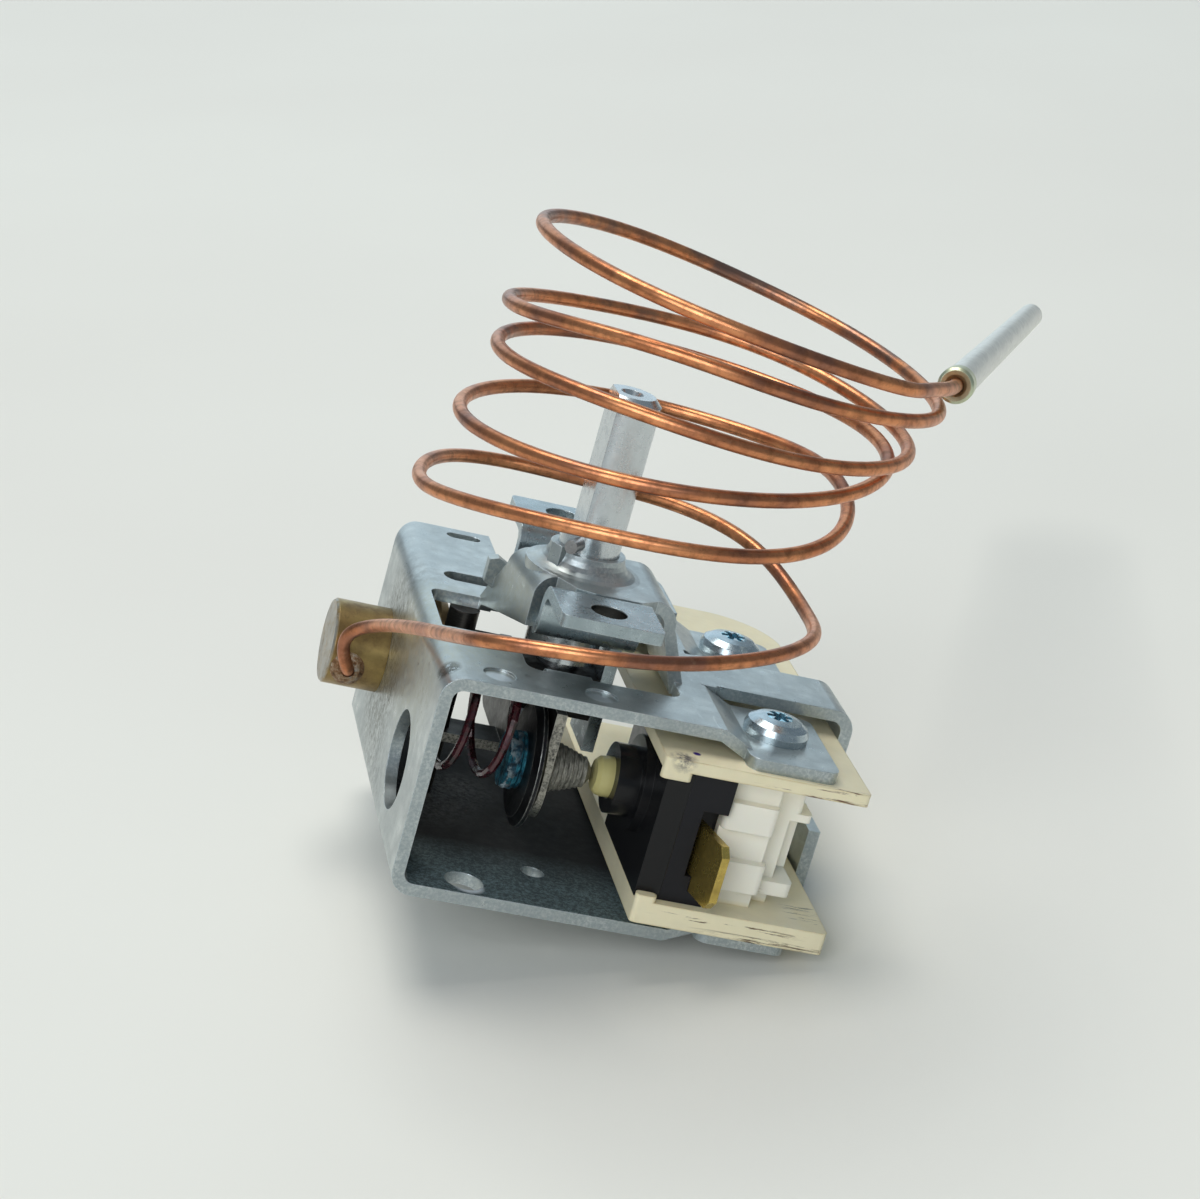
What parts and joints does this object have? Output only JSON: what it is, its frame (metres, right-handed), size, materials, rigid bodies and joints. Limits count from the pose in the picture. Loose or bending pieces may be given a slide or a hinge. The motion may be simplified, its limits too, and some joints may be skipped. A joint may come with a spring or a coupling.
{
  "type": "capillary oven control",
  "caption": "Capillary oven temperature control: folded steel frame, flatted spindle, snap switch in a plastic carrier, coiled copper tube and rod bulb.",
  "frame": {"origin": "on the spindle axis, in the outer face of the two mounting ears", "axes": "+Z along the spindle, out through the panel; +X along the frame from the capsule towards the switch; +Y from the front mounting ear to the rear one"},
  "size_m": [0.0918, 0.1278, 0.0631],
  "materials": {
    "frame": "galvanised, dull",
    "mounting_strap": "zinc plated",
    "spindle_bush": "turned",
    "spindle": "turned and plated",
    "stop_pin": "plain",
    "setting_nut": "dull",
    "rocker": "plated",
    "pivot_pin": "plain",
    "adjusting_screw": "thread sealed with blue lacquer",
    "spring_seat": "plated",
    "return_spring": "dark red lacquer",
    "switch_carrier": "ivory, glass filled",
    "switch_cover": "black moulding",
    "switch_housing": "black moulding",
    "plunger": "cream",
    "contact_blade": "spring strip",
    "front_terminal": "plain",
    "rear_terminal": "plain",
    "carrier_screws": "bright zinc, bluish",
    "capsule_head": "brass with a grey tinned face",
    "capsule_body": "plain",
    "push_pin": "plain",
    "solder_joint": "solder",
    "capillary_tube": "bare copper, brown",
    "bulb_cap": "brazed, dull",
    "sensing_bulb": "drawn"
  },
  "bodies": {
    "frame": {"frame": "frame", "mounting_strap": "mounting_strap", "spindle_bush": "spindle_bush", "pivot_pin": "pivot_pin", "switch_carrier": "switch_carrier", "switch_cover": "switch_cover", "switch_housing": "switch_housing", "front_terminal": "front_terminal", "rear_terminal": "rear_terminal", "carrier_screws": "carrier_screws", "capsule_head": "capsule_head", "capsule_body": "capsule_body", "solder_joint": "solder_joint", "capillary_tube": "capillary_tube", "bulb_cap": "bulb_cap", "sensing_bulb": "sensing_bulb", "return_spring": "return_spring"},
    "spindle": {"spindle": "spindle", "stop_pin": "stop_pin"},
    "setting_nut": {"setting_nut": "setting_nut"},
    "rocker": {"rocker": "rocker", "adjusting_screw": "adjusting_screw", "spring_seat": "spring_seat"},
    "plunger": {"plunger": "plunger"},
    "contact_blade": {"contact_blade": "contact_blade"},
    "push_pin": {"push_pin": "push_pin"}
  },
  "joints": [
    {"name": "spindle_turn", "type": "hinge", "parent": "frame", "child": "spindle", "pos_m": [0, 0, 0], "axis": [0, 0, 1], "range_deg": [0, 314]},
    {"name": "nut_slide", "type": "slide", "parent": "frame", "child": "setting_nut", "axis": [0, 0, 1], "range_m": [-0.00061, 0]},
    {"name": "rocker_turn", "type": "hinge", "parent": "frame", "child": "rocker", "pos_m": [-0.0085, 0.0072, -0.018], "axis": [0, 0, 1], "range_deg": [0, 1.7], "stiffness_Nm_per_rad": 0.2, "deforming": ["return_spring"]},
    {"name": "plunger_slide", "type": "slide", "parent": "frame", "child": "plunger", "axis": [1, 0, 0], "range_m": [0, 0.00052]},
    {"name": "blade_flex", "type": "hinge", "parent": "frame", "child": "contact_blade", "pos_m": [0.01205, -0.004, -0.0172], "axis": [0, 0, 1], "range_deg": [0, 4.9]},
    {"name": "push_pin_slide", "type": "slide", "parent": "frame", "child": "push_pin", "axis": [1, 0, 0], "range_m": [-0.0003, 0]}
  ],
  "couplings": [
    {"joint": "spindle_turn", "follows": "nut_slide", "rad_per_m": -8976},
    {"joint": "plunger_slide", "follows": "rocker_turn", "m_per_rad": 0.0172},
    {"joint": "blade_flex", "follows": "rocker_turn", "ratio": 2.867},
    {"joint": "push_pin_slide", "follows": "rocker_turn", "m_per_rad": -0.0095}
  ]
}
